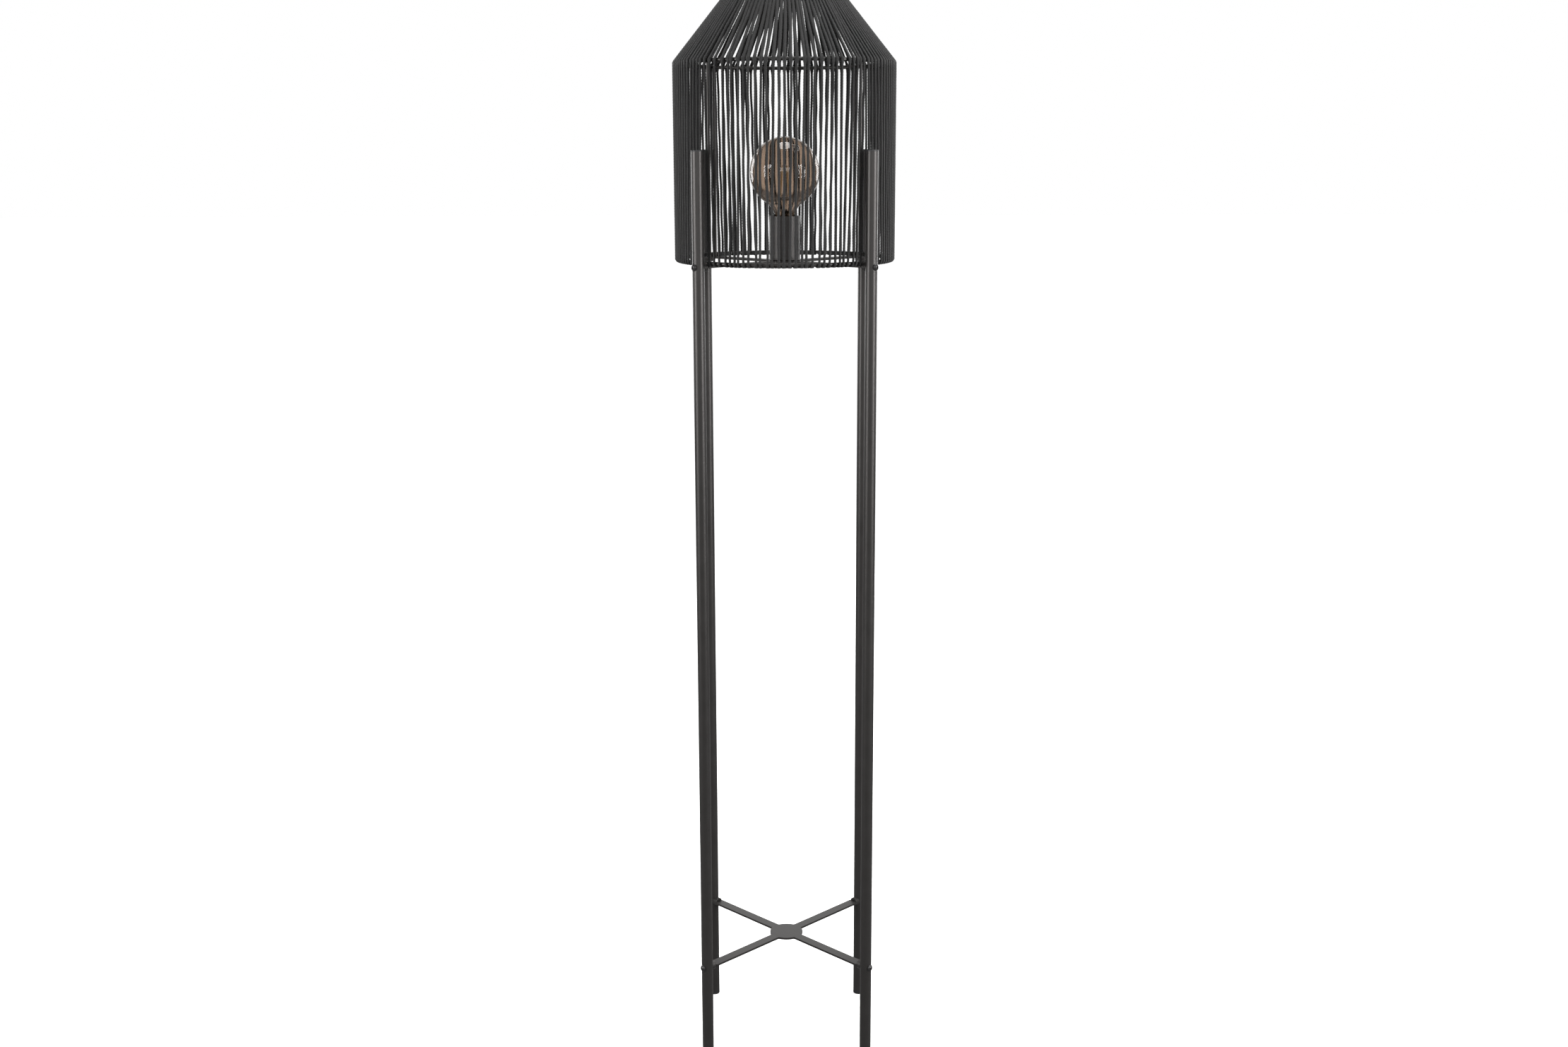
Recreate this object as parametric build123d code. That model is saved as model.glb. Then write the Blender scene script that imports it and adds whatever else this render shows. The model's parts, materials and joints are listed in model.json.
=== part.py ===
from build123d import *
import os
from math import asin, atan2, ceil, cos, degrees, hypot, radians, sin, sqrt, tan

# Floor lamp: four tube legs joined by two cross braces, a lampholder with a globe bulb on the
# upper brace, and a twine-strung shade that stands on that brace between the legs.
# Millimetres. +Z is up, the floor is z = 0, the lamp's axis is x = y = 0, the front faces -Y.

# ------------------------------------------------------------------ driving dimensions
# Legs: straight steel tubes, one at each corner of a square
leg_diameter = 16.0
leg_wall = 1.5
leg_over_brace = 149.5       # from the upper brace's mid-plane to the leg's upper end
leg_fit = 0.1                # plug stem in the tube's bore, and saddle on the tube's wall
foot_height = 6.0
foot_round = 1.6
foot_stem_length = 16.0
plug_height = 2.0
plug_round = 0.6
plug_stem_length = 12.0

# Cross braces: a flat steel cross with a round hub and a threaded boss on each arm
lower_brace_height = 155.7   # mid-plane of the flat bars; most other heights follow the upper one
upper_brace_height = 1143.5
bar_thickness = 3.0
arm_width = 14.0
hub_diameter = 48.0
hub_corner_round = 3.0
boss_diameter = 13.0
boss_length = 4.6            # from the bar's end to the nearest point of the leg
boss_edge = 0.6

# Brace screws: M5 button heads that pass through the leg into the boss
screw_diameter = 5.0
screw_hole_clearance = 0.4
thread_clearance = 0.1       # of every screw and pipe thread in its hole
thread_runout = 1.0          # of the boss's thread into the end of the bar
screw_head_diameter = 9.5
screw_head_height = 2.75
screw_key = 3.0
screw_key_depth = 1.6
screw_tip_gap = 0.6          # from the screw's tip to the end of the bar

# Shade: three wire rings, four bent uprights, and twine strung over them
shade_diameter = 300.0       # over the twine
shade_leg_gap = 1.5          # between the twine and each leg
shade_rest_gap = 0.3         # between the bottom ring and the brace it stands on
ring_wire = 5.0
upright_wire = 4.0
upright_bend = 8.0
weld_gap = 0.1
shade_side_height = 257.5    # between the wires of the bottom and the shoulder ring
shade_cone_height = 90.2     # between the wires of the shoulder and the top ring
top_ring_diameter = 142.0    # to the centre of its wire
twine_diameter = 3.4
twine_seat = 0.3             # between a ring's wire and the twine that passes over it
twine_tuck = 1.3             # how far the twine's loops stand off the bottom ring's wire
strands_per_side = 30        # between two neighbouring uprights
strands_per_group = 10
strand_sides = 4
boss_twine_gap = 0.6
loop_lap = 3.0               # degrees that a loop laps over the sloping strand it joins
loop_flat = 45.0             # most degrees of bend in one flat of a loop

# Lampholder: an E27 holder in a steel cup, held to the hub by a hollow threaded nipple
cup_diameter = 42.0
cup_height = 60.0
cup_wall = 1.0
cup_round = 1.5
holder_clearance = 1.2       # around the holder in its cup
holder_wall = 2.4
holder_base_height = 15.0
holder_body_height = 41.0
holder_floor = 3.0
holder_boss_height = 5.0
holder_boss_wall = 3.0
nipple_diameter = 10.0
nipple_bore = 7.0
nipple_clearance = 0.3       # in the plain holes that it passes through
nipple_below = 1.6           # of the nipple that shows under its locknut
washer_diameter = 18.0
washer_thickness = 1.2
locknut_width = 14.0
locknut_height = 4.0
shell_wall = 0.4
shell_height = 30.0
shell_gap = 0.2
shell_lip = 1.2              # width of the lip at the shell's foot
block_diameter = 24.0
block_height = 7.0
terminal_screw_diameter = 3.0
terminal_head_diameter = 5.4
terminal_head_height = 1.8
terminal_spacing = 14.0
terminal_hole_clearance = 0.2
leaf_thickness = 0.5
leaf_width = 6.0
leaf_rise = 3.0              # of the leaf's top over the holder's floor
leaf_reach = 9.0             # from the bulb's axis to the foot of the contact leaf

# Bulb: a 95 mm globe on an E27 cap
globe_diameter = 95.0
glass_wall = 1.0
neck_blend = 30.0            # radius of the hollow curve between globe and neck
cap_diameter = 26.4
cap_wall = 0.4
cap_height = 26.0
cap_overlap = 6.0            # of the glass neck inside the cap
cap_fit = 0.2
insulator_height = 4.0
insulator_rim = 1.0          # of glass around the centre contact
contact_diameter = 9.6
contact_height = 1.0
contact_gap = 0.3            # between the bulb's contact and the holder's leaf
stem_foot_diameter = 20.0
stem_diameter = 7.0
stem_height = 44.0
filament_length = 40.0
filament_width = 1.9
filament_thickness = 1.0
filament_count = 4
filament_drop = 5.0          # of the filaments' lower ends below the stem's tip
filament_ring_low = 16.0     # diameters of the circles that the filaments' ends lie on
filament_ring_high = 9.0
lead_wire = 0.8
driver_width = 15.0
driver_height = 14.0
driver_thickness = 1.6

# How far a hole's cutting body runs past the face that it opens
overshoot = 1.0

# ------------------------------------------------------------------ derived places
shade_radius = shade_diameter / 2
leg_radius = shade_radius + shade_leg_gap + leg_diameter / 2
leg_bore = leg_diameter - 2 * leg_wall
leg_top = upper_brace_height + leg_over_brace
tube_top = leg_top - plug_height

arm_end = leg_radius - leg_diameter / 2 - boss_length
hub_top = upper_brace_height + bar_thickness / 2
hub_underside = upper_brace_height - bar_thickness / 2

twine_offset = ring_wire / 2 + twine_seat + twine_diameter / 2   # ring wire to strand, centres
ring_radius = shade_radius - twine_diameter / 2 - twine_offset
bottom_ring_height = hub_top + shade_rest_gap + ring_wire / 2
top_ring_radius = top_ring_diameter / 2
shoulder_height = bottom_ring_height + shade_side_height
top_ring_height = shoulder_height + shade_cone_height
cone_run = ring_radius - top_ring_radius
cone_slant = hypot(cone_run, shade_cone_height)
cone_normal = degrees(atan2(cone_run, shade_cone_height))   # of the cone's surface, above level

cup_floor = hub_top + cup_wall
holder_radius = cup_diameter / 2 - cup_wall - holder_clearance
holder_body_low = cup_floor + holder_base_height
holder_floor_top = holder_body_low + holder_floor
shell_radius = cap_diameter / 2 + cap_wall + shell_gap + shell_wall

globe_radius = globe_diameter / 2
neck_radius = cap_diameter / 2 - cap_wall - cap_fit
contact_low = holder_floor_top + leaf_rise + contact_gap
cap_low = contact_low + contact_height + insulator_height
cap_top = cap_low + cap_height
neck_height = cap_top                               # where the neck's curve meets the cap
neck_drop = sqrt((globe_radius + neck_blend) ** 2 - (neck_radius + neck_blend) ** 2)
globe_height = neck_height + neck_drop              # centre of the globe

CORNERS = {"rear_right": 45, "rear_left": 135, "front_left": 225, "front_right": 315}


# ------------------------------------------------------------------ helpers
def save(name, *solids):
    """Write one sub-part; several solids go in as a group of separate pieces."""
    shape = solids[0] if len(solids) == 1 else Compound(children=list(solids))
    export_step(shape, f"parts/{name}.step")


def turned(*outline):
    """A solid of revolution about the lamp's axis, from (radius, height) points."""
    points = [(radius, 0, height) for radius, height in outline]
    return revolve(make_face(Polyline(*points, close=True)), axis=Axis.Z)


def tube(outer, inner, low, high):
    """An upright tube on the lamp's axis, given its two radii."""
    return Pos(0, 0, low) * extrude(Circle(outer) - Circle(inner), amount=high - low)


def outward(shape, distance, height):
    """Turn a shape made along +Z so that it points outward along +X at this distance."""
    return Pos(distance, 0, height) * Rot(Y=90) * shape


def rod(radius, low, high):
    """A plain round bar along +Z."""
    return Pos(0, 0, low) * extrude(Circle(radius), amount=high - low)


# ------------------------------------------------------------------ legs
def leg():
    """A tube with a pair of cross holes at each brace."""
    ring = Circle(leg_diameter / 2) - Circle(leg_bore / 2)
    body = Pos(leg_radius, 0, foot_height) * extrude(ring, amount=tube_top - foot_height)
    hole = rod((screw_diameter + screw_hole_clearance) / 2, -leg_diameter, leg_diameter)
    for height in (lower_brace_height, upper_brace_height):
        body -= outward(hole, leg_radius, height)
    return body


def foot():
    """A plastic cap under the tube, with its stem pressed into the bore."""
    pad = extrude(Circle(leg_diameter / 2), amount=foot_height)
    pad = fillet(pad.edges().group_by(Axis.Z)[0], radius=foot_round)
    stem = rod(leg_bore / 2 - leg_fit, foot_height, foot_height + foot_stem_length)
    return Pos(leg_radius, 0, 0) * (pad + stem)


def plug():
    """A flush plug that closes the tube's upper end."""
    lid = Pos(0, 0, tube_top) * extrude(Circle(leg_diameter / 2), amount=plug_height)
    lid = fillet(lid.edges().group_by(Axis.Z)[-1], radius=plug_round)
    stem = rod(leg_bore / 2 - leg_fit, tube_top - plug_stem_length, tube_top)
    return Pos(leg_radius, 0, 0) * (lid + stem)


# ------------------------------------------------------------------ braces and their screws
def boss(height):
    """The threaded boss on an arm's end, cut to a saddle that fits the leg."""
    body = rod(boss_diameter / 2, arm_end, leg_radius)
    body = chamfer(body.edges().group_by(Axis.Z)[0], boss_edge)
    body = outward(body, 0, height)
    saddle = Pos(leg_radius, 0, height) * Cylinder(leg_diameter / 2 + leg_fit, 2 * boss_diameter)
    return body - saddle


def brace(height, hub_hole):
    """A laser-cut cross with its four bosses; hub_hole is the bore at its centre, or 0."""
    cross = Circle(hub_diameter / 2)
    for angle in (45, 135):
        cross += Rot(Z=angle) * Rectangle(2 * arm_end, arm_width)
    inner = [v for v in cross.vertices() if hypot(v.X, v.Y) < hub_diameter]
    cross = fillet(inner, radius=hub_corner_round)
    if hub_hole:
        cross -= Circle(hub_hole / 2)
    body = Pos(0, 0, height - bar_thickness / 2) * extrude(cross, amount=bar_thickness)
    thread = rod((screw_diameter + thread_clearance) / 2, arm_end - thread_runout, leg_radius)
    for angle in CORNERS.values():
        body += Rot(Z=angle) * boss(height)
    for angle in CORNERS.values():
        body -= Rot(Z=angle) * outward(thread, 0, height)
    return body


def screw(height):
    """A button-head screw, from outside the leg into the boss."""
    head_seat = leg_radius + leg_diameter / 2 + leg_fit
    shank = rod(screw_diameter / 2, arm_end + screw_tip_gap, head_seat)
    rise, half = screw_head_height, screw_head_diameter / 2
    dome_radius = (half ** 2 + rise ** 2) / (2 * rise)
    dome = Pos(0, 0, head_seat + rise - dome_radius) * Sphere(dome_radius)
    head = rod(half, head_seat, head_seat + rise) & dome
    key = extrude(RegularPolygon(screw_key / sqrt(3), 6), amount=screw_key_depth)
    head -= Pos(0, 0, head_seat + rise - screw_key_depth) * key
    return outward(shank + head, 0, height)


# ------------------------------------------------------------------ shade frame
def wire_ring(radius, height):
    return Pos(0, 0, height) * Torus(radius, ring_wire / 2)


def upright():
    """A wire bent to the shade's profile and welded inside the three rings."""
    inset = ring_wire / 2 + weld_gap + upright_wire / 2
    half_turn = radians(cone_normal / 2)
    lean = radians(cone_normal)
    low = (ring_radius - inset, 0, bottom_ring_height - ring_wire / 2)
    knee = (ring_radius - inset, 0, shoulder_height - inset * tan(half_turn))
    high = (top_ring_radius - inset * cos(lean), 0, top_ring_height - inset * sin(lean))
    path = FilletPolyline(low, knee, high, radius=upright_bend)
    return sweep(Plane(low, z_dir=(0, 0, 1)) * Circle(upright_wire / 2), path=path)


# ------------------------------------------------------------------ twine
def strand_angles():
    """Angles of the strands between two uprights, kept clear of the bosses at both ends."""
    reach = boss_diameter / 2 + boss_twine_gap + twine_diameter / 2
    edge = degrees(asin(reach / (ring_radius + twine_offset)))
    step = (90 - 2 * edge) / (strands_per_side - 1)
    return [edge + step * i for i in range(strands_per_side)]


def loop_band(radius, height, start, stop, thickness, span):
    """Where the twine turns round a ring: a band of flats about its wire, from start to stop
    degrees above level, swept through span degrees round the lamp."""
    flats = ceil((stop - start) / loop_flat)
    step = (stop - start) / flats
    angles = [start + step * i for i in range(flats + 1)]
    far = ring_wire / 2 + twine_seat + thickness
    near = (ring_wire / 2 + twine_seat) / cos(radians(step / 2))   # the flats clear the wire

    def point(distance, angle):
        return (radius + distance * cos(radians(angle)), height + distance * sin(radians(angle)))

    outline = [point(near, angle) for angle in angles]
    outline += [point(far, angle) for angle in reversed(angles)]
    points = [(out, 0, up) for out, up in outline]
    return revolve(make_face(Polyline(*points, close=True)), axis=Axis.Z, revolution_arc=span)


def twine_groups(strand, bands):
    """Strands fused to the bands that carry them, in groups right round the shade."""
    groups = []
    angles = strand_angles()
    for corner in CORNERS.values():
        for first in range(0, strands_per_side, strands_per_group):
            members = angles[first:first + strands_per_group]
            span = members[-1] - members[0]
            pieces = [Rot(Z=angle - members[0]) * strand for angle in members]
            pieces += [band(span) for band in bands]
            fused = pieces[0].fuse(*pieces[1:])
            groups.append(Rot(Z=corner + members[0]) * fused)
    return groups


def side_twine():
    """Upright strands from the loops under the bottom ring to the shoulder ring."""
    low = bottom_ring_height - ring_wire / 2 - twine_tuck
    length = shoulder_height - twine_seat - low
    section = RegularPolygon(twine_diameter / 2, strand_sides)
    strand = Pos(ring_radius + twine_offset, 0, low) * extrude(section, amount=length)

    def under_ring(span):
        return loop_band(ring_radius, bottom_ring_height, -90, 0, twine_tuck, span)

    return twine_groups(strand, [under_ring])


def cone_twine():
    """Sloping strands from the shoulder ring up to the loops over the top ring."""
    lean = radians(cone_normal)
    foot_point = (
        ring_radius + twine_offset * cos(lean), 0, shoulder_height + twine_offset * sin(lean))
    section = RegularPolygon(twine_diameter / 2, strand_sides)
    strand = Pos(*foot_point) * Rot(Y=-cone_normal) * extrude(section, amount=cone_slant)
    depth = twine_diameter / 2

    def over_shoulder(span):
        return loop_band(ring_radius, shoulder_height, 0, cone_normal + loop_lap, depth, span)

    def over_top(span):
        return loop_band(top_ring_radius, top_ring_height, cone_normal - loop_lap, 90, depth, span)

    return twine_groups(strand, [over_shoulder, over_top])


# ------------------------------------------------------------------ lampholder
def cup():
    """The steel cup that hides the holder, open at its top."""
    outer = extrude(Circle(cup_diameter / 2), amount=cup_height)
    outer = fillet(outer.edges().group_by(Axis.Z)[0], radius=cup_round)
    inner = rod(cup_diameter / 2 - cup_wall, cup_wall, cup_height)
    hole = rod((nipple_diameter + nipple_clearance) / 2, -cup_wall, 2 * cup_wall)
    return Pos(0, 0, hub_top) * (outer - inner - hole)


def holder_base():
    """The holder's lower half: a pot whose threaded boss screws onto the nipple."""
    pot = rod(holder_radius, cup_floor, holder_body_low)
    pot -= rod(holder_radius - holder_wall, cup_floor + holder_wall, holder_body_low)
    boss_radius = nipple_diameter / 2 + holder_boss_wall
    pot += rod(boss_radius, cup_floor, cup_floor + holder_boss_height)
    thread = (nipple_diameter + thread_clearance) / 2
    return pot - rod(thread, cup_floor - overshoot, cup_floor + holder_boss_height + overshoot)


def holder_body():
    """The holder's upper half: a barrel round the socket, with a floor under it."""
    high = holder_body_low + holder_body_height
    cavity = shell_radius + shell_gap
    barrel = rod(holder_radius, holder_body_low, high)
    barrel = fillet(barrel.edges().group_by(Axis.Z)[-1], radius=holder_wall / 2)
    barrel -= rod(cavity, holder_floor_top, high)
    hole = (terminal_screw_diameter + terminal_hole_clearance) / 2
    for side in (-1, 1):
        x = side * terminal_spacing / 2
        barrel -= Pos(x, 0, 0) * rod(hole, holder_body_low - overshoot, holder_floor_top + overshoot)
    return barrel


def socket_shell():
    """The metal sleeve that the bulb's cap screws into, with a lip at its foot."""
    low = holder_floor_top
    sleeve = tube(shell_radius, shell_radius - shell_wall, low, low + shell_height)
    lip = tube(shell_radius, shell_radius - shell_lip, low, low + shell_wall)
    return sleeve + lip


def terminal_block():
    """The insulating block under the floor that clamps the two cores of the lead."""
    block = rod(block_diameter / 2, holder_body_low - block_height, holder_body_low)
    low = holder_body_low - block_height
    thread = (terminal_screw_diameter + thread_clearance) / 2
    for side in (-1, 1):
        x = side * terminal_spacing / 2
        block -= Pos(x, 0, 0) * rod(thread, low - overshoot, holder_body_low + overshoot)
    return block


def terminal_screws():
    """Two brass screws that hold the block to the floor."""
    low = holder_body_low - block_height
    shank = rod(terminal_screw_diameter / 2, low, holder_floor_top - leaf_thickness)
    head = rod(terminal_head_diameter / 2, low - terminal_head_height, low)
    return [Pos(side * terminal_spacing / 2, 0, 0) * (shank + head) for side in (-1, 1)]


def centre_leaf():
    """A brass leaf that rises from the floor to press on the bulb's centre contact."""
    top = contact_low - contact_gap
    low = holder_floor_top
    flat = contact_diameter / 2
    outline = Polyline(
        (-leaf_reach, 0, low),
        (-flat, 0, low),
        (-flat / 2, 0, top - leaf_thickness),
        (flat / 2, 0, top - leaf_thickness),
        (flat / 2, 0, top),
        (-flat / 2 - leaf_thickness / 2, 0, top),
        (-flat - leaf_thickness / 2, 0, low + leaf_thickness),
        (-leaf_reach, 0, low + leaf_thickness),
        close=True)
    return extrude(make_face(outline), amount=leaf_width / 2, both=True)


def nipple():
    """The hollow threaded pipe that holds the stack together and lets the lead out."""
    low = hub_underside - washer_thickness - locknut_height - nipple_below
    return tube(nipple_diameter / 2, nipple_bore / 2, low, cup_floor + holder_boss_height)


def washer():
    hole = (nipple_diameter + nipple_clearance) / 2
    return tube(washer_diameter / 2, hole, hub_underside - washer_thickness, hub_underside)


def locknut():
    thread = Circle((nipple_diameter + thread_clearance) / 2)
    hexagon = RegularPolygon(locknut_width / sqrt(3), 6) - thread
    low = hub_underside - washer_thickness - locknut_height
    return Pos(0, 0, low) * extrude(hexagon, amount=locknut_height)


# ------------------------------------------------------------------ bulb
def bulb_outline(inset):
    """The closed body inside the glass's outline, drawn in by inset."""
    ball = globe_radius - inset
    hollow = neck_blend + inset
    neck = neck_radius - inset
    low = neck_height - cap_overlap
    blend_angle = atan2(neck_drop, neck_radius + neck_blend)
    middle_angle = blend_angle / 2
    middle = (
        neck_radius + neck_blend - hollow * cos(middle_angle), 0,
        neck_height + hollow * sin(middle_angle))
    meet = (
        neck_radius + neck_blend - hollow * cos(blend_angle), 0,
        neck_height + hollow * sin(blend_angle))
    outline = [
        Line((0, 0, low), (neck, 0, low)),
        Line((neck, 0, low), (neck, 0, neck_height)),
        ThreePointArc((neck, 0, neck_height), middle, meet),
        ThreePointArc(meet, (ball, 0, globe_height), (0, 0, globe_height + ball)),
        Line((0, 0, globe_height + ball), (0, 0, low)),
    ]
    return revolve(make_face(outline), axis=Axis.Z)


def bulb_glass():
    """The blown globe and neck, open at the neck's foot."""
    inside = bulb_outline(glass_wall)
    return bulb_outline(0) - inside


def bulb_cap():
    """The screw cap, drawn in at its foot to hold the insulator."""
    outer = cap_diameter / 2
    inner = outer - cap_wall
    lip = contact_diameter
    return turned((outer, cap_low), (outer, cap_top), (inner, cap_top), (inner, cap_low + cap_wall),
                  (lip, cap_low + cap_wall), (lip, cap_low))


def bulb_insulator():
    """The glass button between the cap and the centre contact."""
    wide = contact_diameter - cap_fit
    narrow = contact_diameter / 2 + insulator_rim
    low = cap_low - insulator_height
    return turned((0, low), (narrow, low), (wide, cap_low - cap_fit), (wide, cap_low + cap_wall),
                  (0, cap_low + cap_wall))


def bulb_contact():
    low = cap_low - insulator_height
    button = rod(contact_diameter / 2, contact_low, low)
    return fillet(button.edges().group_by(Axis.Z)[0], radius=contact_height / 2)


def bulb_stem():
    """The glass stem: a foot that seals the neck and a rod that carries the filaments."""
    low = neck_height - cap_overlap
    foot_radius = stem_foot_diameter / 2
    rod_radius = stem_diameter / 2
    high = low + stem_height
    return turned((0, low), (neck_radius - glass_wall - cap_fit, low),
                  (neck_radius - glass_wall - cap_fit, low + glass_wall),
                  (foot_radius, low + 2 * glass_wall), (rod_radius, low + stem_height / 2),
                  (rod_radius, high - rod_radius), (rod_radius / 2, high), (0, high))


def filament_low():
    return neck_height - cap_overlap + stem_height - filament_drop


def filaments():
    """LED sticks that lean in towards the top round the bulb's axis."""
    run = (filament_ring_low - filament_ring_high) / 2
    lean = degrees(asin(run / filament_length))
    stick = extrude(Rectangle(filament_thickness, filament_width), amount=filament_length)
    placed = Pos(filament_ring_low / 2, 0, filament_low()) * Rot(Y=-lean) * stick
    return [Rot(Z=360 / filament_count * (i + 0.5)) * placed for i in range(filament_count)]


def filament_leads():
    """A wire star under the filaments, and one over them that joins their upper ends."""
    stars = []
    rise = sqrt(filament_length ** 2 - ((filament_ring_low - filament_ring_high) / 2) ** 2)
    low = filament_low() - lead_wire
    high = filament_low() + rise + lead_wire
    stem_side = stem_diameter / 2 + weld_gap
    ends = ((low, stem_side, filament_ring_low / 2), (high, 0, filament_ring_high / 2))
    for height, inner, outer in ends:
        wire = Rot(Y=90) * rod(lead_wire / 2, inner, outer)
        spokes = [
            Pos(0, 0, height) * Rot(Z=360 / filament_count * (i + 0.5)) * wire
            for i in range(filament_count)]
        if inner:
            spokes.append(tube(inner + lead_wire, inner, height - lead_wire / 2, height + lead_wire / 2))
        stars.append(spokes[0].fuse(*spokes[1:]))
    return stars


def bulb_driver():
    """The small circuit board inside the cap."""
    board = Box(driver_width, driver_thickness, driver_height)
    return Pos(0, 0, cap_low + cap_wall + driver_height / 2) * board


# ------------------------------------------------------------------ write every sub-part
os.makedirs("parts", exist_ok=True)

for corner, angle in CORNERS.items():
    save(f"leg_{corner}", Rot(Z=angle) * leg())
    save(f"foot_{corner}", Rot(Z=angle) * foot())
    save(f"leg_plug_{corner}", Rot(Z=angle) * plug())
    save(f"shade_upright_{corner}", Rot(Z=angle) * upright())

save("lower_brace", brace(lower_brace_height, 0))
save("upper_brace", brace(upper_brace_height, nipple_diameter + nipple_clearance))
save("lower_brace_screws", *[Rot(Z=a) * screw(lower_brace_height) for a in CORNERS.values()])
save("upper_brace_screws", *[Rot(Z=a) * screw(upper_brace_height) for a in CORNERS.values()])

save("shade_bottom_ring", wire_ring(ring_radius, bottom_ring_height))
save("shade_shoulder_ring", wire_ring(ring_radius, shoulder_height))
save("shade_top_ring", wire_ring(top_ring_radius, top_ring_height))
save("shade_side_twine", *side_twine())
save("shade_cone_twine", *cone_twine())

save("lampholder_cup", cup())
save("lampholder_base", holder_base())
save("lampholder_body", holder_body())
save("socket_shell", socket_shell())
save("terminal_block", terminal_block())
save("terminal_screws", *terminal_screws())
save("centre_contact_leaf", centre_leaf())
save("cord_nipple", nipple())
save("nipple_washer", washer())
save("nipple_locknut", locknut())

save("bulb_glass", bulb_glass())
save("bulb_cap", bulb_cap())
save("bulb_insulator", bulb_insulator())
save("bulb_contact", bulb_contact())
save("bulb_stem", bulb_stem())
save("bulb_filaments", *filaments())
save("bulb_filament_leads", *filament_leads())
save("bulb_driver", bulb_driver())

print(f"height {top_ring_height + twine_offset:.1f} mm, to the top of the twine")
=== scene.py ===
# %% [markdown]
# # Floor lamp with a twine-strung shade
#
# The lamp has four tube legs, two cross braces, a globe bulb in a cup, and a shade of black twine
# strung over three wire rings. Its rigid parts come ready-made from the CAD frame, already in their
# places. Blender adds the finishes, and the twine, whose twist is too fine for CAD. The frame is
# loaded first, because the twine has to fit the rings in it.

# %% Load the frame
import json
import math
import random

import bpy
import numpy as np
from mathutils import Euler, Matrix, Vector


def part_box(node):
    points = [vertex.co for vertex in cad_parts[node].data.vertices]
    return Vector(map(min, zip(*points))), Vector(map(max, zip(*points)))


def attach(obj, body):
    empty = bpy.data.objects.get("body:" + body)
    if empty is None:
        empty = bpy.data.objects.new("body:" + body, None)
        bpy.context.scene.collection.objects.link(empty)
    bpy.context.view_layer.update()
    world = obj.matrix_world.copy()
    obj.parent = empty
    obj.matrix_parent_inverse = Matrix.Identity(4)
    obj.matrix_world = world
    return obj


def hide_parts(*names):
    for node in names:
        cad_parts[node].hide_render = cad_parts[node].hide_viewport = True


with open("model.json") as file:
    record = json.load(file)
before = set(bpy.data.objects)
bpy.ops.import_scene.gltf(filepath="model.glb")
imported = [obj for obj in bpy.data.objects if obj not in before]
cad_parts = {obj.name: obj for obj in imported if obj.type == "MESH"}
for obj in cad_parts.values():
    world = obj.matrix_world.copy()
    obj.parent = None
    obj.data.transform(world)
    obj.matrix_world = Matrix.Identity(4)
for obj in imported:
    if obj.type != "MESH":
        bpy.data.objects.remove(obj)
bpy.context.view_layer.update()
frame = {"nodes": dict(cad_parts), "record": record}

nodes = frame["nodes"]
scene = bpy.context.scene

# %% [markdown]
# ## Camera
#
# A camera can be placed by eye, but the legs, rings and braces give enough straight edges to work
# its place out. It stands 2.4 m in front of the lamp, at about the height of the globe, and looks
# down a little. The tilt is a turn about X, and the tiny lean of the picture is a turn about the
# camera's own Z. Blender wants the lens in millimetres, so the focal length in pixels is scaled by
# the width of the sensor.

# %% Camera
IMAGE_WIDTH = 2220           # pixels
FOCAL_PIXELS = 2474.18
SENSOR = 36.0                # millimetres
CAMERA_PLACE = Vector((-0.00197, -2.41138, 1.30102))
CAMERA_PITCH = 0.21404       # radians below the horizon
CAMERA_ROLL = -0.00249

camera_data = bpy.data.cameras.new("camera")
camera_data.sensor_width = SENSOR
camera_data.lens = FOCAL_PIXELS * SENSOR / IMAGE_WIDTH
camera = bpy.data.objects.new("camera", camera_data)
tilt = Matrix.Rotation(math.pi / 2 - CAMERA_PITCH, 4, "X")
lean = Matrix.Rotation(CAMERA_ROLL, 4, "Z")
camera.matrix_world = Matrix.Translation(CAMERA_PLACE) @ tilt @ lean
scene.collection.objects.link(camera)
scene.camera = camera
print("lens:", round(camera_data.lens, 2), "mm")

# %% [markdown]
# ## A short way to write shaders
#
# Blender's shaders are graphs of nodes. Writing each node and link by hand hides the idea, so this
# class wraps one output of a node. Sums, differences and products of such wires add Math nodes by
# themselves. Colours go through a Mix node instead, because a Math node would turn them grey. Every
# other node comes from one method, add().

# %% Shader wires
MIX_FACTOR, MIX_LOW, MIX_HIGH = 0, 6, 7     # by number, because a Mix node's sockets for
MIX_COLOUR = 2                              # numbers, vectors and colours share their names


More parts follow.
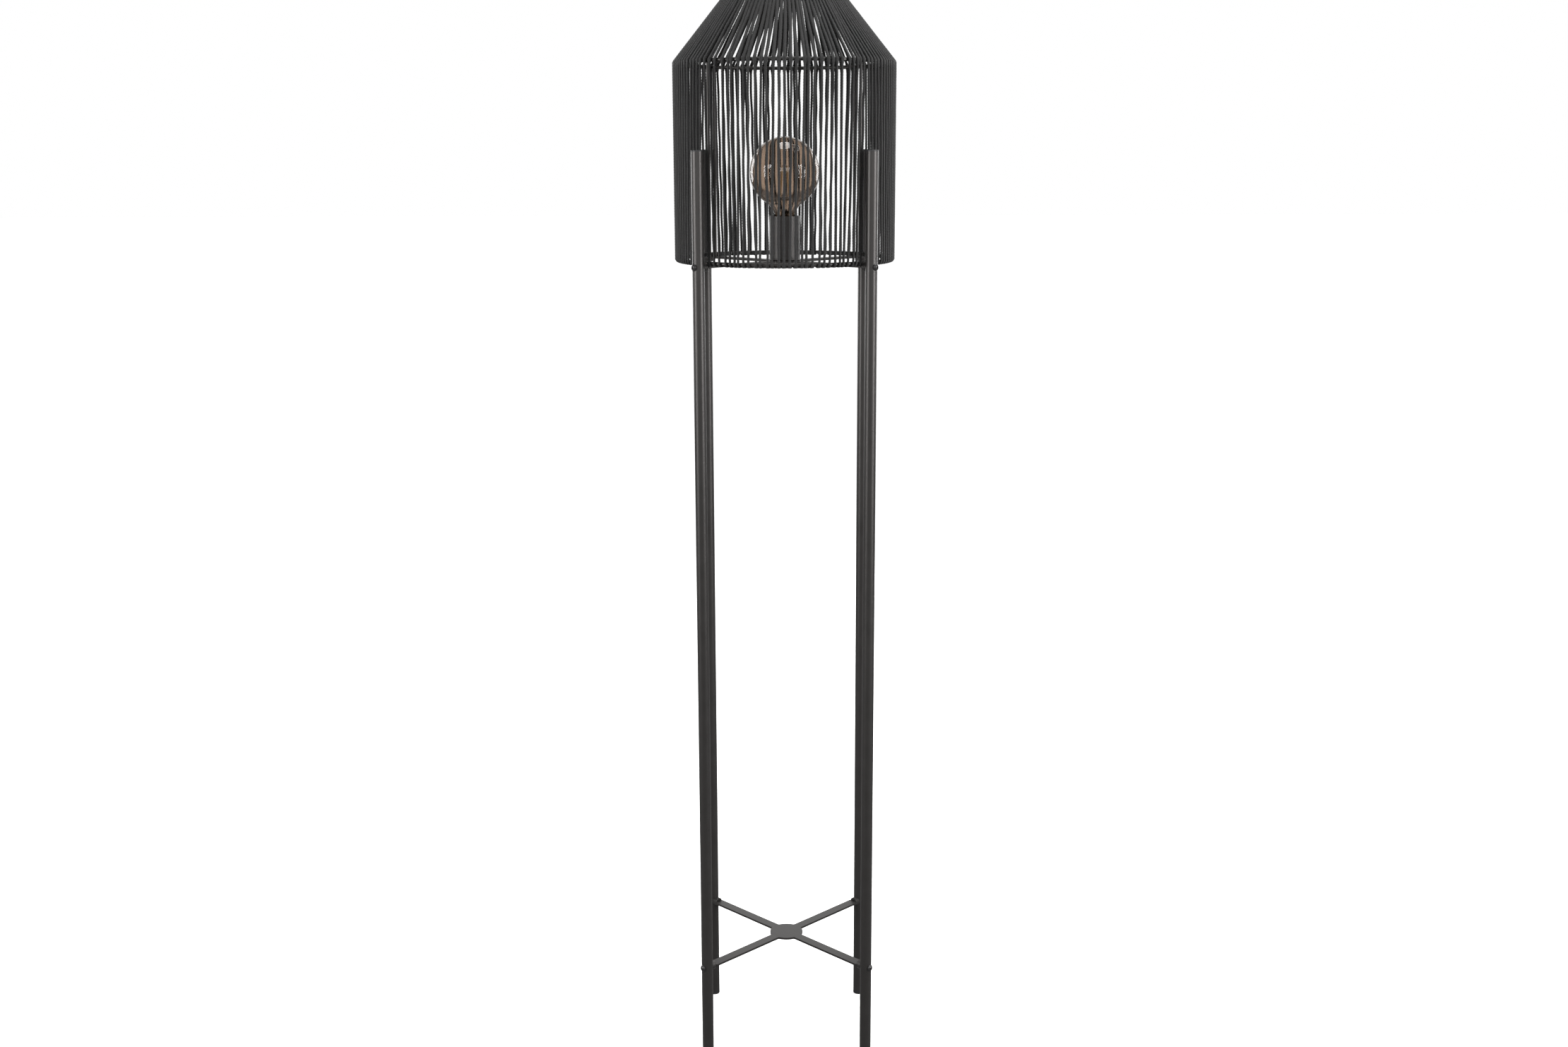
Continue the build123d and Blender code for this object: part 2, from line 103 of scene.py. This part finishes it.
class Wire:
    """One output in a tree of shader nodes. Arithmetic on wires adds Math nodes."""

    def __init__(self, tree, socket=None):
        self.tree = tree
        self.socket = socket

    def add(self, kind, settings=None, sockets=None, output=0):
        """Add a node: first its settings, then the values or wires of its sockets."""
        node = self.tree.nodes.new(kind)
        for name, value in (settings or {}).items():
            setattr(node, name, value)
        for name, value in (sockets or {}).items():
            if isinstance(value, Wire):
                self.tree.links.new(value.socket, node.inputs[name])
            else:
                node.inputs[name].default_value = value
        return Wire(self.tree, node.outputs[output])

    def combine(self, operation, first, second):
        """Add a Math node, such as ADD or MAXIMUM, for two wires or numbers."""
        return self.add("ShaderNodeMath", {"operation": operation}, {0: first, 1: second})

    def __add__(self, other):
        return self.combine("ADD", self, other)

    def __radd__(self, other):
        return self.combine("ADD", other, self)

    def __sub__(self, other):
        return self.combine("SUBTRACT", self, other)

    def __rsub__(self, other):
        return self.combine("SUBTRACT", other, self)

    def __mul__(self, other):
        return self.combine("MULTIPLY", self, other)

    def __rmul__(self, other):
        return self.combine("MULTIPLY", other, self)

    def blend(self, low, high):
        """The colour low where this wire is 0, and high where it is 1."""
        low, high = [(*c, 1.0) if isinstance(c, tuple) else c for c in (low, high)]
        return self.add("ShaderNodeMix", {"data_type": "RGBA"},
                        {MIX_FACTOR: self, MIX_LOW: low, MIX_HIGH: high}, output=MIX_COLOUR)


print("operators on wires: + - *")

# %% [markdown]
# ## What every finish has
#
# A finish is a material with one Principled shader. What is the same all over the surface, such as
# how metallic it is, is set on the shader's own socket. What varies comes from noise. The noise is
# read at the object's own coordinates in metres and not at a UV map, so a grain has its real size on
# every piece, and it moves with the piece.


# %% A finish
class Finish:
    """A material with a Principled shader, and the textures that feed it."""

    def __init__(self, name, **fixed):
        self.material = bpy.data.materials.new(name)
        self.material.use_nodes = True
        tree = self.material.node_tree
        self.shader = tree.nodes["Principled BSDF"]
        self.wire = Wire(tree)
        self.place = self.wire.add("ShaderNodeTexCoord", output="Object")
        for socket, value in fixed.items():
            self.shader.inputs[socket.replace("_", " ")].default_value = value

    def noise(self, grain, stretch=(1.0, 1.0, 1.0), detail=2.0):
        """Cloudy variation from 0 to 1. grain is the size of its spots in metres.

        A stretch below 1 draws the spots out along that axis.
        """
        scaled = self.wire.add("ShaderNodeMapping", None, {"Vector": self.place, "Scale": stretch})
        return self.wire.add("ShaderNodeTexNoise", None,
                             {"Vector": scaled, "Scale": 1 / grain, "Detail": detail})

    def feed(self, socket, value):
        """Link a wire to one of the shader's sockets."""
        self.wire.tree.links.new(value.socket, self.shader.inputs[socket])

    def bump(self, height, depth, strength=1.0):
        """Raise the surface where height is 1, by depth in metres."""
        normal = self.wire.add("ShaderNodeBump", None,
                               {"Height": height, "Distance": depth, "Strength": strength})
        self.feed("Normal", normal)


print("finish helper ready")

# %% [markdown]
# ## Lights
#
# Black satin tubes show little of their own colour: what the eye reads is the reflection of the
# lights. A small lamp would draw a hard bright line on each tube, so the lights are large soft
# panels. One tall panel on each side in front of the lamp, and a weaker one on each side behind it,
# draw pale stripes down the sides of every tube. The front pair ends 0.6 m above the floor, so that
# the legs darken towards their feet. A wide panel in front brightens what is turned to the eye, one
# at the back shines on the flat tops of the braces, and a soft sun, almost overhead, lights the
# floor evenly.

# %% Lights
PANELS = {                   # places and sizes in metres, power in watts
    "panel_left": {"place": (-1.85, -1.1, 1.35), "size": (0.85, 1.5), "power": 50.0},
    "panel_right": {"place": (1.85, -1.1, 1.35), "size": (0.9, 1.5), "power": 58.0},
    "panel_front": {"place": (0.0, -4.2, 2.0), "size": (2.6, 1.0), "power": 46.0},
    "panel_rear_left": {"place": (-1.7, 1.9, 1.5), "size": (0.9, 1.5), "power": 26.0},
    "panel_rear_right": {"place": (1.7, 1.9, 1.5), "size": (0.9, 1.5), "power": 26.0},
    "panel_back": {"place": (0.0, 2.8, 1.5), "size": (3.0, 2.4), "power": 22.0},
}
LIGHT_AIM = Vector((0.0, 0.0, 1.0))
SUN_STRENGTH = 3.45
SUN_SOFTNESS = math.radians(50)
SUN_TILT = (math.radians(-6), math.radians(10), 0.0)
SUN_PLACE = (0.0, 0.0, 3.0)  # only its direction counts


def show_light(name, data, place, turn):
    """Add a light that neither the camera nor the glass shows."""
    light = bpy.data.objects.new(name, data)
    light.location = place
    light.rotation_mode = "QUATERNION"
    light.rotation_quaternion = turn
    light.visible_camera = False
    light.visible_transmission = False
    scene.collection.objects.link(light)


def add_panel(name, place, size, power):
    """A rectangular soft light that faces the lamp."""
    data = bpy.data.lights.new(name, "AREA")
    data.shape = "RECTANGLE"
    data.size, data.size_y = size
    data.energy = power
    show_light(name, data, place, (LIGHT_AIM - Vector(place)).to_track_quat("-Z", "Y"))


for name, panel in PANELS.items():
    add_panel(name, **panel)

sun = bpy.data.lights.new("soft_sun", "SUN")
sun.energy = SUN_STRENGTH
sun.angle = SUN_SOFTNESS
show_light("soft_sun", sun, SUN_PLACE, Euler(SUN_TILT).to_quaternion())
print("panels:", len(PANELS), "power:", sum(panel["power"] for panel in PANELS.values()), "W")

# %% [markdown]
# ## World
#
# The lamp stands before pure white. A world that bright would also shine into every tube and turn
# the black grey. The Light Path node tells what a ray is for, so the world can be white to the eye,
# also through the glass, and give the lamp only a part of that light. This is done in the studio and
# never in a finish of the lamp, which has to look right in any scene.

# %% World
WORLD_WHITE = (1.0, 1.0, 1.0, 1.0)
FILL = 0.16                  # share of the world's white that lights the lamp

world = bpy.data.worlds.new("studio")
world.use_nodes = True
sky = Wire(world.node_tree)
seen = sky.add("ShaderNodeLightPath", output="Is Camera Ray")
through = sky.add("ShaderNodeLightPath", output="Is Transmission Ray")
shown = sky.combine("MAXIMUM", seen, through)
strength = 1 - (1 - shown) * (1 - FILL)
background = world.node_tree.nodes["Background"]
background.inputs["Color"].default_value = WORLD_WHITE
world.node_tree.links.new(strength.socket, background.inputs["Strength"])
scene.world = world
scene.view_settings.view_transform = "Standard"
print("world nodes:", len(world.node_tree.nodes))

# %% [markdown]
# ## Floor
#
# A sheet of pale studio paper, far larger than the view, so that no edge shows. It is one square,
# because nothing of it but its faint clouds is ever seen. Like the world it is pale to the eye and
# darker in reflections, or it would light the black lamp from below.

# %% Floor
FLOOR_EDGE = 30.0            # from the lamp to the edge of the paper
FLOOR_CLOUD = 0.4
FLOOR_DARK = (0.87, 0.87, 0.87)
FLOOR_PALE = (0.89, 0.89, 0.89)
FLOOR_IN_REFLECTIONS = (0.14, 0.14, 0.14)

corners = [(-FLOOR_EDGE, -FLOOR_EDGE, 0), (FLOOR_EDGE, -FLOOR_EDGE, 0),
           (FLOOR_EDGE, FLOOR_EDGE, 0), (-FLOOR_EDGE, FLOOR_EDGE, 0)]
floor_mesh = bpy.data.meshes.new("floor")
floor_mesh.from_pydata(corners, [], [(0, 1, 2, 3)])
floor = bpy.data.objects.new("floor", floor_mesh)
scene.collection.objects.link(floor)

floor_finish = Finish("floor_paper", Roughness=0.9, Specular_IOR_Level=0.1)
paper = floor_finish.noise(FLOOR_CLOUD).blend(FLOOR_DARK, FLOOR_PALE)
in_view = floor_finish.wire.add("ShaderNodeLightPath", output="Is Camera Ray")
floor_finish.feed("Base Color", in_view.blend(FLOOR_IN_REFLECTIONS, paper))
floor_mesh.materials.append(floor_finish.material)
print("floor:", 2 * FLOOR_EDGE, "m wide")

# %% [markdown]
# ## Powder-coated steel
#
# Legs, braces, cup and wire frame are baked with a black powder. The powder melts into a satin skin
# that is never quite flat: it has the shallow dimples called orange peel, about a millimetre wide,
# and a slightly uneven sheen. The dimples could be modelled, but at this depth a bump does as well.
# It breaks up the reflections, and wider patches of noise make the sheen and the colour uneven. A
# slightly warm tint of the gloss takes the blue out of the black.


# %% Powder coat
def powder_coat():
    finish = Finish("powder_coat", Specular_Tint=(1.0, 0.96, 0.94, 1.0))
    peel = finish.noise(grain=0.0011, detail=1.5)
    patches = finish.noise(grain=0.02)
    finish.feed("Base Color", patches.blend((0.010, 0.0095, 0.009), (0.016, 0.015, 0.0145)))
    finish.feed("Roughness", patches * 0.08 + peel * 0.05 + 0.34)
    finish.bump(peel, depth=0.00005)
    return finish.material


finishes = {}


def keep(**made):
    """Store finishes under the names that the record has for them."""
    finishes.update(made)
    print("made:", ", ".join(made))


keep(powder_coated_steel=powder_coat())

# %% [markdown]
# ## The other blacks
#
# Three more blacks stand beside the powder coat, and they have to differ in gloss, because in colour
# they hardly do. The screws are blackened steel, half metallic and a little shiny. Foot caps and leg
# plugs are moulded plastic, which is duller. The lampholder is of phenolic resin, brownish black,
# with the skin of gloss that the hot mould leaves, which is a thin coat in the shader.


# %% Other blacks
def black_oxide():
    finish = Finish("black_oxide", Metallic=0.6)
    grain = finish.noise(grain=0.0006)
    finish.feed("Base Color", grain.blend((0.022, 0.022, 0.024), (0.045, 0.043, 0.042)))
    finish.feed("Roughness", grain * 0.15 + 0.28)
    finish.bump(grain, depth=0.00001)
    return finish.material


def moulded_plastic():
    finish = Finish("moulded_plastic")
    grain = finish.noise(grain=0.0005)
    finish.feed("Base Color", grain.blend((0.007, 0.007, 0.008), (0.014, 0.014, 0.015)))
    finish.feed("Roughness", grain * 0.12 + 0.48)
    finish.bump(grain, depth=0.00002)
    return finish.material


def phenolic():
    finish = Finish("phenolic", Coat_Weight=0.2)
    cloud = finish.noise(grain=0.004)
    finish.feed("Base Color", cloud.blend((0.012, 0.011, 0.010), (0.030, 0.025, 0.022)))
    finish.feed("Roughness", cloud * 0.1 + 0.3)
    return finish.material


keep(black_screws=black_oxide(), black_plastic=moulded_plastic(), phenolic=phenolic())

# %% [markdown]
# ## Plated metal
#
# The bulb's cap, the threaded shell, the nipple and the contacts are plated or bare metal. A metal
# has no colour under its reflection, so its tint and roughness do all the work. Fine scratches come
# from noise that is drawn out along Z. One function serves them all, with two colours and a
# roughness each. It also serves the insulator's black glass, which is too dark to show a difference.


# %% Metals
def plated(name, dark, bright, roughness, grain=0.0008):
    """A metal with fine scratches along Z."""
    finish = Finish(name, Metallic=1.0)
    scratches = finish.noise(grain, stretch=(1.0, 1.0, 0.12), detail=4.0)
    finish.feed("Base Color", scratches.blend(dark, bright))
    finish.feed("Roughness", scratches * 0.18 + roughness)
    finish.bump(scratches, depth=0.00001)
    return finish.material


keep(
    nickel_plate=plated("nickel", (0.58, 0.56, 0.52), (0.80, 0.78, 0.74), 0.22),
    brass=plated("brass", (0.62, 0.42, 0.16), (0.86, 0.63, 0.30), 0.25),
    zinc_plated_steel=plated("zinc", (0.50, 0.50, 0.48), (0.72, 0.72, 0.69), 0.32, grain=0.002),
    lead_wire=plated("lead_wire", (0.50, 0.48, 0.45), (0.70, 0.68, 0.64), 0.3),
    black_glass=plated("cap_glass", (0.006, 0.006, 0.008), (0.015, 0.014, 0.016), 0.1),
)

# %% [markdown]
# ## Glass
#
# The globe is a thin shell of tinted glass with a real inside. A see-through colour would be quicker
# to render, but flat. Full transmission bends the light at every face, and each face tints it, so
# the globe looks darker than its colour. Blown glass is never quite even, which a broad, weak bump
# gives.


# %% Glass
def clear(name, tint, roughness=0.02):
    """Glass with a faint unevenness from blowing."""
    finish = Finish(name, Transmission_Weight=1.0, IOR=1.5, Base_Color=(*tint, 1.0))
    waves = finish.noise(grain=0.02, detail=1.0)
    finish.feed("Roughness", waves * 0.02 + roughness)
    finish.bump(waves, depth=0.0002, strength=0.4)
    return finish.material


keep(
    amber_glass=clear("amber_glass", (0.56, 0.47, 0.40)),
    clear_glass=clear("clear_glass", (0.95, 0.96, 0.94)),
)

# %% [markdown]
# ## Small parts of the bulb
#
# The filaments are strips coated with yellow phosphor, which is chalky and bright even when they are
# off. The driver board hides in the cap. Its tracks are the borders between the cells of a Voronoi
# texture: all that is further from a cell's middle than one distance. Cut like this they have sharp
# edges, which noise alone wouldn't give.


# %% Bulb parts
def phosphor():
    finish = Finish("phosphor")
    grain = finish.noise(grain=0.0004)
    finish.feed("Base Color", grain.blend((0.85, 0.60, 0.28), (0.98, 0.80, 0.45)))
    finish.feed("Roughness", grain * 0.2 + 0.45)
    finish.bump(grain, depth=0.00005)
    return finish.material


def circuit_board():
    finish = Finish("circuit_board", Coat_Weight=0.4)
    cells = finish.wire.add("ShaderNodeTexVoronoi", {"feature": "F1"},
                            {"Vector": finish.place, "Scale": 450.0}, output="Distance")
    tracks = finish.wire.combine("GREATER_THAN", cells, 0.45)
    finish.feed("Base Color", tracks.blend((0.02, 0.11, 0.05), (0.07, 0.22, 0.09)))
    finish.bump(tracks, depth=0.00003)
    return finish.material


keep(filament_coating=phosphor(), circuit_board=circuit_board())

# %% [markdown]
# ## Twine
#
# The shade is strung with black paper twine. Paper yarn is twisted, so light breaks up along it into
# short slanted streaks, and each strand is a little lighter or darker than the next. The twist is
# modelled further down, because it shows at the edge of every strand, where a bump can't. The finish
# adds the fibres, as noise drawn out along the strand, and a soft sheen.


# %% Twine finish
def paper_twine():
    finish = Finish("paper_twine", Sheen_Weight=0.08, Sheen_Roughness=0.5, Specular_IOR_Level=0.25)
    fibres = finish.noise(grain=0.0005, stretch=(1.0, 1.0, 0.15), detail=3.0)
    lengths = finish.noise(grain=0.012, stretch=(1.0, 1.0, 0.25))
    mixed = fibres * 0.6 + lengths * 0.4
    finish.feed("Base Color", mixed.blend((0.006, 0.006, 0.006), (0.024, 0.0235, 0.0235)))
    finish.feed("Roughness", fibres * 0.15 + 0.6)
    finish.bump(fibres, depth=0.0002, strength=0.7)
    return finish.material


keep(black_twine=paper_twine())
print("finishes in all:", len(finishes))

# %% [markdown]
# ## Finishes onto the pieces
#
# The frame's record says which finish each piece has, so no list of pieces is needed here: the
# finish is put into the slots that the piece already has.

# %% Finishes onto the pieces
for row in frame["record"]["subparts"]:
    for slot in nodes[row["node"]].material_slots:
        slot.material = finishes[row["material_slot"]]

# %% [markdown]
# ## Rings
#
# The twine is strung over the shade's three wire rings. Their sizes could be typed in again, but
# measured from the frame they are always right. The twine lies just off the wire, and where it is
# pulled tight round an end ring it is about a third as thick as elsewhere.

# %% Rings
TWINE = 0.0034               # thickness of the twine
SEAT = 0.0003                # between the wire and the twine
PRESSED = 0.35               # share of its thickness left where the twine is pressed on a ring


def ring_of(node):
    """Radius and height of a wire ring, and the thickness of its wire."""
    low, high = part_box(node)
    wire = high.z - low.z
    return high.x - wire / 2, (low.z + high.z) / 2, wire


bottom_radius, bottom_height, wire = ring_of("shade_bottom_ring")
shoulder_radius, shoulder_height, _ = ring_of("shade_shoulder_ring")
top_radius, top_height, _ = ring_of("shade_top_ring")
cone_normal = math.atan2(shoulder_radius - top_radius, top_height - shoulder_height)
free = wire / 2 + SEAT + TWINE / 2
pressed = wire / 2 + SEAT / 2 + PRESSED * TWINE / 2
print("wire:", round(wire * 1000, 2), "mm, cone leans", round(math.degrees(cone_normal), 1), "degrees")

# %% [markdown]
# ## The route of one strand
#
# One long twine runs up and down in 120 strands. Each comes out from under the bottom ring, climbs
# straight to the shoulder ring, bends over it, and leans in to the top ring, where it turns back. A
# curve object with a round bevel would give smooth hoses. Here the route is a row of stations
# instead, so that a twisted section can be swept along it, and pressed flat on the end rings.

# %% Route of one strand
STEP = 0.0016                # between two stations along a strand
BACK_TURN = math.radians(165)    # how far the twine goes round the end rings


def round_ring(radius, height, start, stop, near, far, thin, thick):
    """Stations round a ring's wire: (radius, height, direction off the wire, thickness).

    near and thin are the distance from the wire's middle and the thickness at the start,
    far and thick those at the stop.
    """
    count = max(2, math.ceil(abs(stop - start) * max(near, far) / STEP))
    stations = []
    for i in range(count + 1):
        share = i / count
        angle = start + (stop - start) * share
        away = near + (far - near) * share
        stations.append((radius + away * math.cos(angle), height + away * math.sin(angle), angle,
                         thin + (thick - thin) * share))
    return stations


def straight(first, last):
    """Stations between two others, evenly spaced and without the ends."""
    count = math.ceil(math.dist(first[:2], last[:2]) / STEP)
    return [tuple(a + (b - a) * i / count for a, b in zip(first, last)) for i in range(1, count)]


foot = round_ring(bottom_radius, bottom_height, -BACK_TURN, -math.pi / 2, pressed, pressed,
                  PRESSED, PRESSED)
foot += round_ring(bottom_radius, bottom_height, -math.pi / 2, 0, pressed, free, PRESSED, 1)[1:]
knee = round_ring(shoulder_radius, shoulder_height, 0, cone_normal, free, free, 1, 1)
head = round_ring(top_radius, top_height, cone_normal, math.pi / 2, free, pressed, 1, PRESSED)
head += round_ring(top_radius, top_height, math.pi / 2, BACK_TURN, pressed, pressed,
                   PRESSED, PRESSED)[1:]
side = straight(foot[-1], knee[0])
cone = straight(knee[-1], head[0])
route = foot + side + knee + cone + head
print("stations in one strand:", len(route))

# %% [markdown]
# ## Spacing
#
# Strung by hand, no two strands are quite parallel. The eye notices this at once, because the rear
# strands show between the front ones and make a drifting pattern of light and dark. So each strand
# gets its own small shifts at the foot, the knee and the head, from a seeded random series that is
# the same on every run. Each side of the shade also leans as a whole, by a part of the spacing. All
# this fades out beside the four corners, where the wire uprights keep the strands in place.

# %% Spacing of the strands
SIDES = 4
STRANDS_A_SIDE = 30
STRANDS = SIDES * STRANDS_A_SIDE
CORNER = math.radians(45)
MARGINS = {                  # from a corner to the first strand; the foot is clear of the boss
    "foot": math.radians(3.4),
    "knee": math.radians(1.5),
    "head": math.radians(1.5),
}
EASE = 3                     # strands over which shifts and drifts fade out beside a corner
SHIFTS = {"foot": 0.27, "knee": 0.27, "head": 0.05}    # of single strands, in spacings
UNEVEN = (1.0, 0.2, 1.0, 0.2)    # share of the shifts on the rear, left, front and right side
DRIFTS = {                   # of the rear, left, front and right side, in spacings
    "foot": (0.26, 0.20, 0.33, -0.20),
    "knee": (0.61, 0.31, 0.63, -0.31),
    "head": (-0.8, 0.0, 0.8, 0.0),
}
SEED = 271

chance = random.Random(SEED)


def strand_places():
    """For each strand, its angles round the lamp at foot, knee and head."""
    places = []
    for side_index in range(SIDES):
        for i in range(STRANDS_A_SIDE):
            share = i / (STRANDS_A_SIDE - 1)
            angles = []
            for part, margin in MARGINS.items():
                span = math.pi / 2 - 2 * margin
                spacing = span / (STRANDS_A_SIDE - 1)
                inner = min(i, STRANDS_A_SIDE - 1 - i, EASE) / EASE
                own = chance.uniform(-1, 1) * SHIFTS[part] * UNEVEN[side_index]
                shift = (own + DRIFTS[part][side_index]) * inner
                start = CORNER + side_index * math.pi / 2 + margin
                angles.append(start + share * span + shift * spacing)
            places.append(angles)
    return places


places = strand_places()
print("strands:", len(places))

# %% [markdown]
# ## How wide a strand is
#
# Paper twine is soft. Pulled over the shoulder ring it spreads, on the cone it lies flatter than on
# the side, and on the end rings it is squeezed broad. A strand is never wider than its share of the
# ring, or it would run into the next. A table of widths would do, but a formula in the height stays
# right when a ring moves.

# %% Width of a strand
SIDE_WIDTH = 1.16            # all widths are in thicknesses of the twine
CONE_WIDTH = 1.45
KNEE_WIDTH = 1.9
PRESSED_WIDTH = 2.3
WIDENING = 0.15              # share of the cone over which a strand widens
KNEE_REACH = 0.007           # how far above and below the shoulder the twine is spread


def strand_width(radius, height, thickness):
    """Width of the twine in thicknesses, at most until the strands touch."""
    on_cone = (height - shoulder_height) / (top_height - shoulder_height)
    wide = SIDE_WIDTH + (CONE_WIDTH - SIDE_WIDTH) * min(max(on_cone / WIDENING, 0), 1)
    at_knee = max(1 - abs(height - shoulder_height) / KNEE_REACH, 0)
    wide += (KNEE_WIDTH - wide) * at_knee
    wide += (PRESSED_WIDTH - wide) * (1 - thickness) / (1 - PRESSED)
    spacing = 2 * math.pi * radius / STRANDS
    return min(wide, spacing / TWINE)


print("widest at the top ring:", round(strand_width(top_radius, top_height, PRESSED), 2))

# %% [markdown]
# ## The whole run of the twine
#
# The stations of one strand are set at its angles, and taken backwards in every other strand, where
# the twine comes down again. Short bridges on the end rings join them. A tight strand still strays
# from its line by a fraction of a millimetre, so a slow sine moves it sideways. Its phase comes from
# the strand's own angle, which scatters it from strand to strand without another random series.

# %% Whole run
WANDER = 0.0004              # how far a strand strays sideways from its line
WANDER_RATE = 60             # radians a metre, times 0 to 2 from strand to strand
PHASE_STEP = 2.4             # scatters the phases of neighbours
BRIDGE = 3                   # stations of the twine between two strands on an end ring


def strand_points(angles, reverse):
    """The strand's stations as rows of (angle, radius, height, direction, thickness, width)."""
    foot_angle, knee_angle, head_angle = angles
    phase = foot_angle * STRANDS * PHASE_STEP
    rows = []
    for radius, height, direction, thickness in route:
        if height < shoulder_height:
            share = (height - bottom_height) / (shoulder_height - bottom_height)
            angle = foot_angle + (knee_angle - foot_angle) * max(share, 0)
        else:
            share = (height - shoulder_height) / (top_height - shoulder_height)
            angle = knee_angle + (head_angle - knee_angle) * min(share, 1)
        angle += WANDER / radius * math.sin(phase + (1 + math.sin(phase)) * height * WANDER_RATE)
        rows.append((angle, radius, height, direction, thickness,
                     strand_width(radius, height, thickness)))
    return rows[::-1] if reverse else rows


def whole_run():
    """All strands and the short bridges between them, as one closed row of stations."""
    strands = [strand_points(angles, i % 2 == 0) for i, angles in enumerate(places)]
    rows = []
    for i, strand in enumerate(strands):
        rows += strand
        last = strand[-1]
        following = strands[(i + 1) % len(strands)][0]
        gap = (following[0] - last[0]) % (2 * math.pi)
        for k in range(1, BRIDGE + 1):
            share = k / (BRIDGE + 1)
            rows.append((last[0] + gap * share, *last[1:]))
    return np.array(rows)


rows = whole_run()
print("stations in the whole run:", len(rows))

# %% [markdown]
# ## Sweeping the twisted section
#
# The section has three lobes, one for each ply, and turns as it moves along, which draws the plies
# as a three-start screw. At each station three directions carry it: along the twine, straight off
# the wire, and across. The yarn also thins a little here and there, by three waves whose lengths
# share no common beat. numpy works out all stations at once, which a loop in Python would take long
# over.

# %% Sweep
PLIES = 3
POINTS = 9                   # round the section
LOBE = 0.13                  # depth of the grooves between the plies, as a share of the radius
LAY = 0.011                  # length of one full twist
SLUB = 0.07                  # share of its thickness that the yarn loses where it is thinnest
SLUB_LENGTHS = (0.019, 0.031, 0.053)


def sweep(rows):
    """Vertices of the twisted tube: one ring of POINTS for each station."""
    angle, radius, height, direction, thickness, width = rows.T
    out = np.stack([np.cos(angle), np.sin(angle), np.zeros_like(angle)], axis=1)
    up = np.array([0.0, 0.0, 1.0])
    centre = out * radius[:, None] + up * height[:, None]
    normal = out * np.cos(direction)[:, None] + up * np.sin(direction)[:, None]
    along = np.roll(centre, -1, axis=0) - np.roll(centre, 1, axis=0)
    along /= np.linalg.norm(along, axis=1)[:, None]
    across = np.cross(along, normal)
    across /= np.linalg.norm(across, axis=1)[:, None]
    normal = np.cross(across, along)
    travel = np.cumsum(np.linalg.norm(centre - np.roll(centre, 1, axis=0), axis=1))
    turns = round(travel[-1] / LAY)
    twist = travel / travel[-1] * turns * 2 * math.pi
    swell = sum(np.sin(2 * math.pi * travel / length) for length in SLUB_LENGTHS)
    half = TWINE / 2 * (1 - SLUB / 2 + SLUB / 2 * swell / len(SLUB_LENGTHS))
    rings = []
    for k in range(POINTS):
        own = 2 * math.pi * k / POINTS
        reach = half * (1 - LOBE * (1 - math.cos(PLIES * own)) / 2)
        turn = own + twist
        rings.append(centre + normal * (np.cos(turn) * thickness * reach)[:, None]
                     + across * (np.sin(turn) * width * reach)[:, None])
    return np.stack(rings, axis=1).reshape(-1, 3)


vertices = sweep(rows)
print("vertices of the twine:", len(vertices))

# %% [markdown]
# ## The twine as a piece
#
# The whole twine is one closed tube, so its faces are a plain grid of quads that wraps round both
# ways. The piece stands for the two plain twine nodes of the CAD model and rides on the shade, so it
# lifts off with it.

# %% Twine mesh
index = np.arange(len(rows) * POINTS).reshape(len(rows), POINTS)
ahead = np.roll(index, -1, axis=0)
faces = np.stack([index, np.roll(index, -1, axis=1), np.roll(ahead, -1, axis=1), ahead], axis=2)

twine_mesh = bpy.data.meshes.new("shade_twine")
twine_mesh.from_pydata(vertices.tolist(), [], faces.reshape(-1, 4).tolist())
twine_mesh.materials.append(finishes["black_twine"])
twine_mesh.shade_smooth()
twine = bpy.data.objects.new("shade_twine", twine_mesh)
scene.collection.objects.link(twine)
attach(twine, "shade")
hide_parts("shade_side_twine", "shade_cone_twine")
print("twine faces:", len(twine_mesh.polygons))
